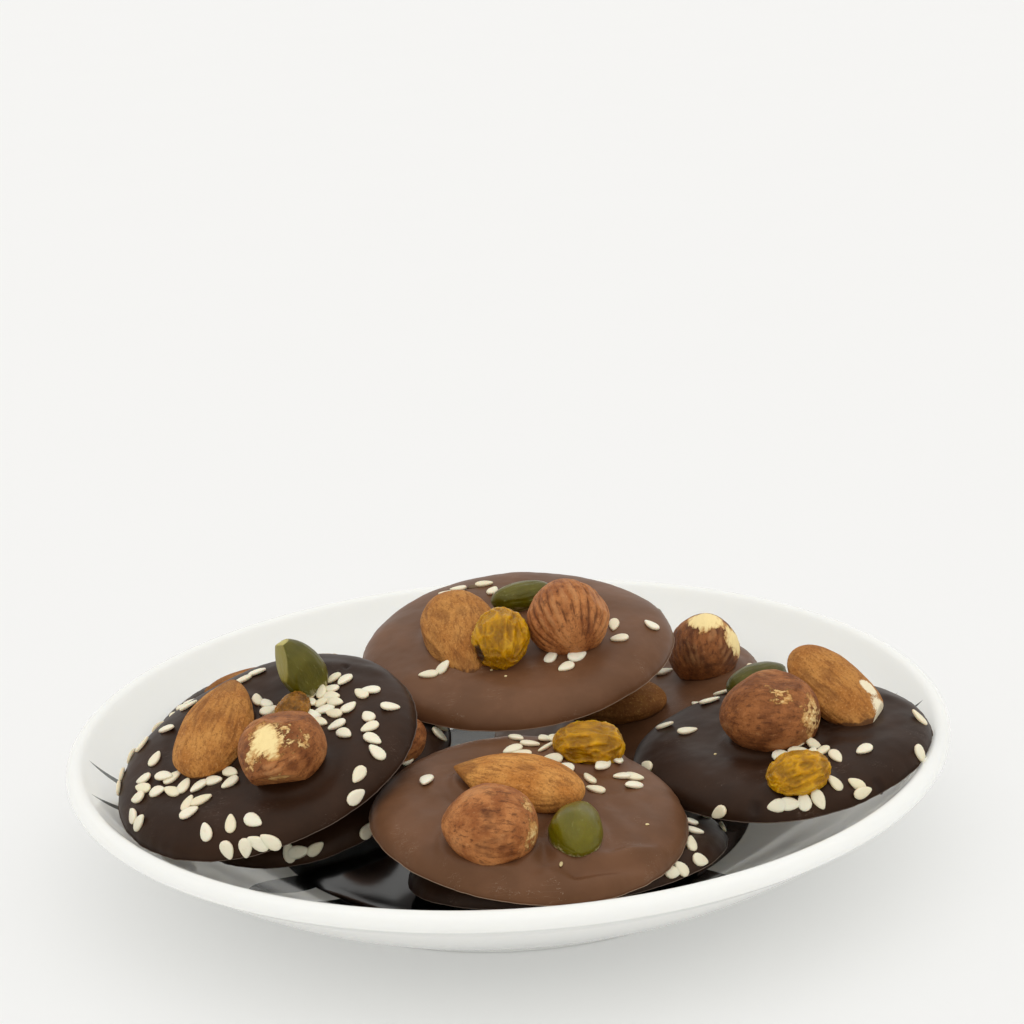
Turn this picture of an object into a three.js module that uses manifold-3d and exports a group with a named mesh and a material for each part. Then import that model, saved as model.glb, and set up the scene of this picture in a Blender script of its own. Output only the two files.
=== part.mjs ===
// A bowl of mendiants: dark and milk chocolate discs set with nuts, raisins and sesame,
// piled in a shallow porcelain bowl. Millimetres, +Z up, origin under the bowl's centre.
import * as THREE from 'three';
import { mergeVertices } from 'three/addons/utils/BufferGeometryUtils.js';
import Module from 'manifold-3d';

// ---- driving dimensions -------------------------------------------------------------

// The bowl: a flat floor that sweeps up to a rolled lip, on a low foot ring.
const LIP_RADIUS = 81.2;
const LIP_HEIGHT = 23.3;
const LIP_ROLL = 1.8;
const FLOOR_RADIUS = 44;
const FLOOR_HEIGHT = 5.4;
const WALL_SWEEP = 1.6;
const WALL_THICKNESS = 3;
const FOOT_OUTER = 47;
const FOOT_INNER = 44.4;
const FOOT_RECESS = 2;
const FOOT_ROUND = 0.5;
const FOOT_FILLET = 1.4;
const LIP_TUCK = 0.6;
const BOWL_SIDES = 42;

// Where the bowl's profile has its corners: shares of the wall's run, outside and inside,
// and turns round the lip in degrees.
const UNDERSIDE_STEPS = [0, 0.3, 0.6, 0.85];
const LIP_TURNS = [-95, -35, 20, 75, 130, 178];
const INSIDE_STEPS = [0.86, 0.7, 0.5, 0.28, 0];

// A mendiant: flat below, domed above, thinning to a sharp edge.
const DISC_HEIGHT = 5;
const DOME_POWER = 6;
const DISC_SIDES = 32;
const DISC_RINGS = [0, 0.6, 0.86, 0.96, 1];

// Gap kept round what is set in the chocolate, and the least room left round a seed.
const CLEARANCE = 0.3;
const SEED_ROOM = 1.9;
const SEED_SPACING = 2.2;

const SESAME = { length: 3.3, width: 2, height: 1.1, sunk: 0.25, taper: 0.35, grid: [5, 3] };
const SEED_TURN = 2.1;
const PATCH_TURN = 0.9;
const GOLDEN_ANGLE = Math.PI * (3 - Math.sqrt(5));

// Toppings lie along +X with their pointed end at +X: length, width, height in mm. Each
// narrows by its taper over the whole length and by its point over the front half; a bend
// makes it a kidney, and a crease is the depth of the folds of dried fruit.
const KINDS = {
  almond: {
    size: [25, 14, 8], grid: [10, 7], taper: 0.2, point: 0.22, bend: 0, crease: 0,
    color: 0xa9713c, roughness: 0.62,
  },
  hazelnut: {
    size: [16.5, 15.5, 14], grid: [10, 7], taper: 0.05, point: 0.17, bend: 0, crease: 0,
    color: 0x8c5532, roughness: 0.55,
  },
  raisin: {
    size: [12.5, 10.5, 8], grid: [10, 7], taper: 0, point: 0, bend: 0, crease: 0.05,
    color: 0xa8831a, roughness: 0.42,
  },
  pistachio: {
    size: [14, 9, 7.5], grid: [9, 6], taper: 0.14, point: 0, bend: 0.16, crease: 0,
    color: 0x5a6a22, roughness: 0.5,
  },
};
const FOLDS_ROUND = 5;
const FOLDS_TWIST = 3;
const FOLDS_ALONG = 7;

const CHOCOLATE = {
  dark: { color: 0x3a2b29, roughness: 0.38 },
  milk: { color: 0x6d4c3b, roughness: 0.36 },
};

// Each disc: its underside's centre, how far it leans to the front and to the right in
// degrees, its radius, and the waviness of its edge as [three-lobe size, turn, four-lobe
// size, turn]. A topping's row is [kind, x, y, turn, rise of its tip, height of its middle
// above the dome, scale]. A seed patch is [x, y, half length, half width, count].
const DISCS = {
  dark_left: {
    chocolate: 'dark', at: [-42.9, -23.2, 29.5], lean: [12.7, -14.2], radius: 28,
    wave: [0.27, -163, 0.22, -85],
    toppings: [
      ['almond', -7.4, 3.4, 74, 6, 1.9, 1.02],
      ['hazelnut', 6, -13.5, 6, 12, 4.4, 0.95],
      ['raisin', 7, 2.4, 60, 10, 1.6, 0.62],
      ['pistachio', 9.3, 11.2, 130, 58, 4.2, 0.95],
    ],
    seeds: [
      [-14, -12, 11, 5.5, 19], [-17.5, 10, 4, 9, 5], [-4, -23.5, 6.5, 2, 7],
      [19, -14, 2.5, 9, 7], [15.5, 2.5, 4, 9.5, 15], [0.5, 9.5, 1.5, 2.5, 3], [-2, 20.5, 3, 2, 2],
    ],
  },
  milk_top: {
    chocolate: 'milk', at: [2.4, 12.7, 33.6], lean: [7.9, -2.2], radius: 29.9,
    wave: [0.36, 16, 0.31, 27],
    toppings: [
      ['almond', -10, -4.6, -82, -12, 2, 1.03],
      ['raisin', -2.4, -11.6, 80, 34, 4.2, 1.02],
      ['pistachio', 2.2, 8.6, 22, 0, 2.4, 0.95],
      ['hazelnut', 10.4, -7, 100, 28, 5.2, 1],
    ],
    seeds: [
      [-15, -15.5, 2.5, 1.5, 2], [9.5, -16, 3.5, 2.5, 3], [20.5, -5, 2.5, 3.5, 3],
      [-8, 19.5, 7, 2.5, 4],
    ],
  },
  milk_front: {
    chocolate: 'milk', at: [3.5, -41.7, 22.5], lean: [5.6, 5.3], radius: 27.2,
    wave: [0.38, -170, 0.2, 20],
    toppings: [
      ['almond', -3, 0.8, 158, 0, 2.3, 1.01],
      ['hazelnut', -7.5, -16, 186, 4, 3.1, 1],
      ['pistachio', 6.9, -14, -98, -4, 1.9, 1.02],
      ['raisin', 10.3, 15.6, 4, 0, 2, 1.05],
    ],
    seeds: [[-18, 3, 1, 1, 1], [0, 18, 6, 4.5, 8], [15, 7, 4, 5, 6]],
  },
  dark_right: {
    chocolate: 'dark', at: [50.3, -15.6, 21.6], lean: [2, -6.2], radius: 27.1,
    wave: [0.5, 109, 0.4, -34],
    toppings: [
      ['hazelnut', -1.7, -3.6, 172, 4, 4.4, 1.13],
      ['almond', 11.6, 4.6, 125, 30, 3.5, 0.94],
      ['pistachio', -1.6, 16.9, 20, 4, 2.4, 0.9],
      ['raisin', 0.6, -22.6, 14, 4, 2.2, 0.94],
    ],
    seeds: [
      [-18.4, 7, 2.5, 3, 3], [-9.5, 17, 2.5, 3, 2], [3.5, -13, 6, 3, 8], [-14.3, -19, 1, 1, 1],
      [10, -18.5, 4, 3.5, 6], [9.5, -1, 1.5, 1, 2], [24, -1, 1, 1.5, 1],
    ],
  },
  milk_back: {
    chocolate: 'milk', at: [23.8, 31.9, 12.8], lean: [1.1, -14.5], radius: 28,
    wave: [0.3, 40, 0.2, 110],
    toppings: [
      ['hazelnut', 19, -3.3, 70, 30, 4.2, 0.95],
      ['almond', -2.5, -13.1, 165, 10, 3.1, 1],
      ['pistachio', 7.3, 20.5, 30, 8, 3.4, 0.9],
      ['raisin', -12, 10, 50, 0, 2, 0.9],
    ],
    seeds: [[10, -0.5, 1, 1, 1], [23.5, 7, 1.5, 4, 3], [14, 12, 4, 4, 3], [-6, 19, 5, 3, 2]],
  },
  dark_under_left: {
    chocolate: 'dark', at: [-37.4, -9.5, 20.6], lean: [13.6, -10.3], radius: 26.9,
    wave: [0.25, 60, 0.2, 0],
    toppings: [
      ['hazelnut', 18.6, -6, 30, 0, 1.6, 0.7],
      ['almond', 1, 13, 15, 0, 1.6, 0.86],
    ],
    seeds: [[0, -24, 6, 1.6, 5], [23.5, 2, 2, 4, 4], [4, 22, 7, 2, 4]],
  },
  dark_back_left: {
    chocolate: 'dark', at: [-43.3, 15.4, 14.6], lean: [9.7, 6.8], radius: 26.7,
    wave: [0.3, -30, 0.2, 70],
    toppings: [
      ['almond', -6.4, 10, 190, 0, 2.5, 0.94],
      ['hazelnut', 12.5, 9, 60, 10, 3.6, 0.88],
      ['raisin', 7, 20.6, 0, 0, 2, 0.86],
    ],
    seeds: [[-21, 5, 2.5, 8, 8], [12, 20, 4, 3, 4], [21, 3, 2, 5, 4]],
  },
  dark_under_front: {
    chocolate: 'dark', at: [9.5, -33.5, 11], lean: [-9.6, -4.4], radius: 28.4,
    wave: [0.1, -70, 0.11, 75],
    toppings: [],
    seeds: [[21.5, -13, 2.5, 9, 6], [25, 3, 0.8, 3, 2]],
  },
};

// ---- geometry helpers ---------------------------------------------------------------

const wasm = await Module();
wasm.setup();

const radians = THREE.MathUtils.degToRad;

// One closed triangle mesh with its shared corners merged and its pole slivers removed.
function closedMesh(geometry) {
  const bare = geometry.clone();
  bare.deleteAttribute('normal');
  bare.deleteAttribute('uv');
  const merged = mergeVertices(bare, 1e-4);
  const corners = merged.index.array;
  const kept = [];
  for (let i = 0; i < corners.length; i += 3) {
    const [a, b, c] = corners.slice(i, i + 3);
    if (a !== b && b !== c && c !== a) kept.push(a, b, c);
  }
  merged.setIndex(kept);
  return merged;
}

function toManifold(geometry) {
  return new wasm.Manifold(new wasm.Mesh({
    numProp: 3,
    vertProperties: new Float32Array(geometry.attributes.position.array),
    triVerts: new Uint32Array(geometry.index.array),
  }));
}

function fromManifold(solid) {
  const mesh = solid.getMesh();
  const geometry = new THREE.BufferGeometry();
  geometry.setAttribute('position', new THREE.BufferAttribute(mesh.vertProperties, 3));
  geometry.setIndex(new THREE.BufferAttribute(mesh.triVerts, 1));
  return geometry;
}

// Moves every corner of a geometry by a function of its place.
function reshape(geometry, move) {
  const place = geometry.attributes.position;
  const point = new THREE.Vector3();
  for (let i = 0; i < place.count; i += 1) {
    move(point.fromBufferAttribute(place, i));
    place.setXYZ(i, point.x, point.y, point.z);
  }
  return geometry;
}

// A profile of [radius, height] pairs turned round the Z axis.
function turned(profile, sides) {
  const points = profile.map(([radius, height]) => new THREE.Vector2(radius, height));
  const geometry = new THREE.LatheGeometry(points, sides);
  geometry.rotateX(Math.PI / 2);
  return geometry;
}

// ---- the bowl -----------------------------------------------------------------------

function wallHeight(radius) {
  const out = Math.max(0, radius - FLOOR_RADIUS);
  const span = LIP_RADIUS - LIP_ROLL - FLOOR_RADIUS;
  const rise = LIP_HEIGHT - FLOOR_HEIGHT;
  return FLOOR_HEIGHT + rise * (out / span) ** WALL_SWEEP;
}

function bowlProfile() {
  const profile = [[0, FOOT_RECESS], [FOOT_INNER - FOOT_ROUND, FOOT_RECESS]];
  profile.push([FOOT_INNER, FOOT_ROUND], [FOOT_INNER + FOOT_ROUND, 0]);
  profile.push([FOOT_OUTER - FOOT_ROUND, 0], [FOOT_OUTER, FOOT_ROUND]);
  for (const share of UNDERSIDE_STEPS) {
    const radius = THREE.MathUtils.lerp(FOOT_OUTER + FOOT_FILLET, LIP_RADIUS - LIP_TUCK, share);
    profile.push([radius, wallHeight(radius) - WALL_THICKNESS]);
  }
  for (const turn of LIP_TURNS) {
    const angle = radians(turn);
    const radius = LIP_RADIUS + LIP_ROLL * Math.cos(angle);
    profile.push([radius, LIP_HEIGHT + LIP_ROLL * Math.sin(angle)]);
  }
  for (const share of INSIDE_STEPS) {
    const radius = THREE.MathUtils.lerp(FLOOR_RADIUS, LIP_RADIUS - LIP_ROLL, share);
    profile.push([radius, wallHeight(radius)]);
  }
  profile.push([0, FLOOR_HEIGHT]);
  return profile;
}

function makeBowl() {
  const glaze = new THREE.MeshStandardMaterial({
    color: 0xececea, roughness: 0.12, metalness: 0,
  });
  const bowl = new THREE.Mesh(closedMesh(turned(bowlProfile(), BOWL_SIDES)), glaze);
  bowl.name = 'bowl';
  return bowl;
}

// ---- toppings -----------------------------------------------------------------------

// Turns a point of the unit ball, its axis along X, into a point of the topping's shape.
function shapeTopping(kind, point) {
  const { taper, point: sharpness, bend, crease } = KINDS[kind];
  const front = Math.max(0, point.x);
  const around = Math.atan2(point.z, point.y);
  const folds = Math.cos(FOLDS_ROUND * around + FOLDS_TWIST * point.x)
    - Math.cos(FOLDS_ALONG * point.x);
  const girth = (1 - taper * point.x - sharpness * front * front) * (1 + crease * folds);
  point.y = point.y * girth + bend * point.x * point.x;
  point.z *= girth;
}

function toppingGeometry(kind, scale, grow) {
  const { size, grid } = KINDS[kind];
  const ball = new THREE.SphereGeometry(1, grid[0], grid[1]);
  ball.rotateZ(-Math.PI / 2);
  reshape(ball, (point) => shapeTopping(kind, point));
  const [length, width, height] = size.map((side) => (side * scale) / 2 + grow);
  ball.scale(length, width, height);
  return closedMesh(ball);
}

function toppingPlace([, x, y, turn, rise, height], radius) {
  const place = new THREE.Object3D();
  place.rotation.set(0, radians(-rise), radians(turn), 'ZYX');
  place.position.set(x, y, domeHeight(Math.hypot(x, y), radius) + height);
  place.updateMatrix();
  return place.matrix;
}

// ---- the chocolate discs ------------------------------------------------------------

function domeHeight(distance, radius) {
  const share = Math.min(1, distance / radius);
  return DISC_HEIGHT * Math.sqrt(1 - share ** DOME_POWER);
}

function edgeRadius(disc, angle) {
  const [three, threeTurn, four, fourTurn] = disc.wave;
  const lobes = three * Math.cos(3 * angle - radians(threeTurn));
  return disc.radius + lobes + four * Math.cos(4 * angle - radians(fourTurn));
}

function discBlank(disc) {
  const { radius } = disc;
  const profile = [[0, 0]];
  for (const share of DISC_RINGS.toReversed()) {
    profile.push([radius * share, domeHeight(radius * share, radius)]);
  }
  return closedMesh(reshape(turned(profile, DISC_SIDES), (point) => {
    const stretch = edgeRadius(disc, Math.atan2(point.y, point.x)) / radius;
    point.x *= stretch;
    point.y *= stretch;
  }));
}

// The height of the faceted dome over a place on the disc.
function surfaceHeight(disc, x, y) {
  const share = Math.min(1, Math.hypot(x, y) / edgeRadius(disc, Math.atan2(y, x)));
  const outer = Math.max(1, DISC_RINGS.findIndex((ring) => ring >= share));
  const [low, high] = [DISC_RINGS[outer - 1], DISC_RINGS[outer]];
  return THREE.MathUtils.mapLinear(share, low, high, domeHeight(low, 1), domeHeight(high, 1));
}

function discGroup(disc) {
  const group = new THREE.Group();
  group.position.set(...disc.at);
  group.rotation.set(radians(disc.lean[0]), radians(disc.lean[1]), 0, 'YXZ');
  group.updateMatrixWorld();
  return group;
}

// ---- sesame seeds -------------------------------------------------------------------

// Moves a seed's place out of the toppings' outlines on its own disc.
function besideToppings(disc, x, y) {
  let [seedX, seedY] = [x, y];
  for (const [kind, toppingX, toppingY, turn, , , scale] of disc.toppings) {
    const [length, width] = KINDS[kind].size;
    const offset = new THREE.Vector2(seedX - toppingX, seedY - toppingY);
    offset.rotateAround(new THREE.Vector2(), radians(-turn));
    const reach = Math.hypot(
      offset.x / ((length * scale) / 2 + SEED_ROOM),
      offset.y / ((width * scale) / 2 + SEED_ROOM),
    );
    if (reach < 1) {
      offset.divideScalar(reach);
      offset.rotateAround(new THREE.Vector2(), radians(turn));
      seedX = toppingX + offset.x;
      seedY = toppingY + offset.y;
    }
  }
  return [seedX, seedY];
}

// True where a place in the bowl is clear of the wall and of every other disc.
function inTheOpen(world, ownName) {
  if (world.z < wallHeight(Math.hypot(world.x, world.y)) + SEED_ROOM) return false;
  return Object.entries(DISCS).every(([name, disc]) => {
    if (name === ownName) return true;
    const local = discGroup(disc).worldToLocal(world.clone());
    const aside = Math.hypot(local.x, local.y) > disc.radius + SEED_ROOM;
    return aside || local.z < -SEED_ROOM || local.z > DISC_HEIGHT + SEED_ROOM;
  });
}

// Seeds fill each patch in a sunflower's spiral; those that would be crossed are left out.
function seedPlaces(disc, ownName) {
  const places = [];
  const group = discGroup(disc);
  disc.seeds.forEach(([x, y, halfLength, halfWidth, count], patch) => {
    for (let i = 0; i < count; i += 1) {
      const angle = i * GOLDEN_ANGLE + patch;
      const reach = Math.sqrt((i + 0.5) / count);
      const [seedX, seedY] = besideToppings(
        disc, x + halfLength * reach * Math.cos(angle), y + halfWidth * reach * Math.sin(angle),
      );
      const distance = Math.hypot(seedX, seedY);
      const crowded = places.some(
        (other) => Math.hypot(other.x - seedX, other.y - seedY) < SEED_SPACING,
      );
      if (crowded || distance > disc.radius - SEED_SPACING) continue;
      const seed = new THREE.Vector3(seedX, seedY, surfaceHeight(disc, seedX, seedY));
      if (inTheOpen(group.localToWorld(seed.clone()), ownName)) {
        places.push(Object.assign(seed, { turn: i * SEED_TURN + patch * PATCH_TURN }));
      }
    }
  });
  return places;
}

function seedSolid(seed, disc) {
  const ball = new THREE.SphereGeometry(1, ...SESAME.grid);
  ball.rotateZ(-Math.PI / 2);
  reshape(ball, (point) => {
    const taper = 1 - SESAME.taper * point.x;
    point.y *= taper;
    point.z *= taper;
  });
  ball.scale(SESAME.length / 2, SESAME.width / 2, SESAME.height / 2);
  ball.rotateZ(seed.turn);
  const inner = 1 - 1 / Math.hypot(seed.x, seed.y);
  const slope = surfaceHeight(disc, seed.x * inner, seed.y * inner) - seed.z;
  const tiltAxis = new THREE.Vector3(-seed.y, seed.x, 0).normalize();
  ball.applyMatrix4(new THREE.Matrix4().makeRotationAxis(tiltAxis, Math.atan(slope)));
  ball.translate(seed.x, seed.y, seed.z + SESAME.height / 2 - SESAME.sunk);
  return toManifold(closedMesh(ball));
}

// ---- one mendiant with all that is on it --------------------------------------------

// A topping in its place on the disc, grown by a gap.
function placedTopping(topping, disc, grow) {
  const form = toppingGeometry(topping[0], topping[6], grow);
  return toManifold(form.applyMatrix4(toppingPlace(topping, disc.radius)));
}

function makeMendiant(name, disc) {
  const group = discGroup(disc);
  const pockets = disc.toppings.map((topping) => placedTopping(topping, disc, CLEARANCE));
  let solid = toManifold(discBlank(disc));
  for (const pocket of pockets) solid = solid.subtract(pocket);
  for (const seed of seedPlaces(disc, name)) solid = solid.add(seedSolid(seed, disc));
  const chocolate = new THREE.MeshStandardMaterial({
    ...CHOCOLATE[disc.chocolate], metalness: 0,
  });
  const body = new THREE.Mesh(fromManifold(solid), chocolate);
  body.name = name;
  group.add(body);

  disc.toppings.forEach((topping, own) => {
    const [kind] = topping;
    const { color, roughness } = KINDS[kind];
    const skin = new THREE.MeshStandardMaterial({ color, roughness, metalness: 0 });
    let form = placedTopping(topping, disc, 0);
    if (kind === 'raisin') {
      // A raisin is soft, so a nut that stands against it presses a hollow into it.
      for (const pocket of pockets.toSpliced(own, 1)) form = form.subtract(pocket);
    }
    const piece = new THREE.Mesh(fromManifold(form), skin);
    piece.name = `${name}_${kind}`;
    group.add(piece);
  });
  return group;
}

const mendiants = new THREE.Group();
mendiants.add(makeBowl());
for (const [name, disc] of Object.entries(DISCS)) {
  mendiants.add(makeMendiant(name, disc));
}

export default mendiants;
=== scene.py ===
# %% [markdown]
# # A bowl of mendiants
# Mendiants are thin discs of melted chocolate, poured on paper and set with nuts, raisins and
# seeds before they harden. Here eight of them lie in a loose pile in a shallow porcelain bowl.
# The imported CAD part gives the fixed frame, and each of its plain solids gets a finer piece
# that stands for it. All sizes below are millimetres, turned into metres at the very end.

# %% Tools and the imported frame
import math

import bmesh
import bpy
from mathutils import Matrix, Vector, noise


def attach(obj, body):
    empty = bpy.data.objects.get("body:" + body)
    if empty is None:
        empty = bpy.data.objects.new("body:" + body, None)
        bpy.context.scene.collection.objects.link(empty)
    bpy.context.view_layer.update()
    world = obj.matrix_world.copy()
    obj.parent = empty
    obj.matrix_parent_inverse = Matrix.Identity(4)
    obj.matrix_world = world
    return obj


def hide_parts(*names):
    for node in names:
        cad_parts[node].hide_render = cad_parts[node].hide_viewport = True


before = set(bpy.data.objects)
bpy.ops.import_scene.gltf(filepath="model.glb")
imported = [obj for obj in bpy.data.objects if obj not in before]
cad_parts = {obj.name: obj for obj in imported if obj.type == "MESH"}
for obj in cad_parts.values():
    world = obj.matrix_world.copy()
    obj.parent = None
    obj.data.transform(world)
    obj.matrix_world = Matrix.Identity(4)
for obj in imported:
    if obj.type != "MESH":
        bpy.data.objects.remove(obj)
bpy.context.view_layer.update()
MM = 0.001
# One sort of noise below starts from the clock unless it is told where to start.
NOISE_SEED = 1795561123
noise.seed_set(NOISE_SEED)

# %% [markdown]
# ## The camera
# The photograph was taken with a longish lens from a little above the rim, so the bowl shows
# as a flat ellipse. A camera could be aimed with a Track To constraint, but three numbers and
# a roll are enough to build its turn directly, and nothing is left that could move later.

# %% Camera
CAMERA_LENS = 85
CAMERA_FILM = 36
CAMERA_PITCH = math.radians(17.04)
CAMERA_ROLL = math.radians(-3.24)
CAMERA_DISTANCE = 445.2
CAMERA_TARGET = Vector((3.2, 0, 65.6))


def make_camera():
    camera = bpy.data.objects.new("camera", bpy.data.cameras.new("camera"))
    camera.data.lens = CAMERA_LENS
    camera.data.sensor_width = CAMERA_FILM
    camera.data.clip_start = 0.01
    turn = Matrix.Rotation(math.pi / 2 - CAMERA_PITCH, 4, "X")
    turn = turn @ Matrix.Rotation(CAMERA_ROLL, 4, "Z")
    away = turn @ Vector((0, 0, CAMERA_DISTANCE))
    camera.matrix_world = Matrix.Translation((CAMERA_TARGET + away) * MM) @ turn
    bpy.context.scene.collection.objects.link(camera)
    bpy.context.scene.camera = camera
    return camera


print("camera at", make_camera().matrix_world.translation)

# %% [markdown]
# ## What lies where
# Every disc is a row of named sizes: where its underside's middle is, how far it leans to the
# front and to the right, how wide it is, and how its edge wanders. Its toppings and its seeds
# are placed on the disc itself, so they lean with it. A table like this is easier to keep true
# than objects placed by hand, because one change moves all that hangs on it.

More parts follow.
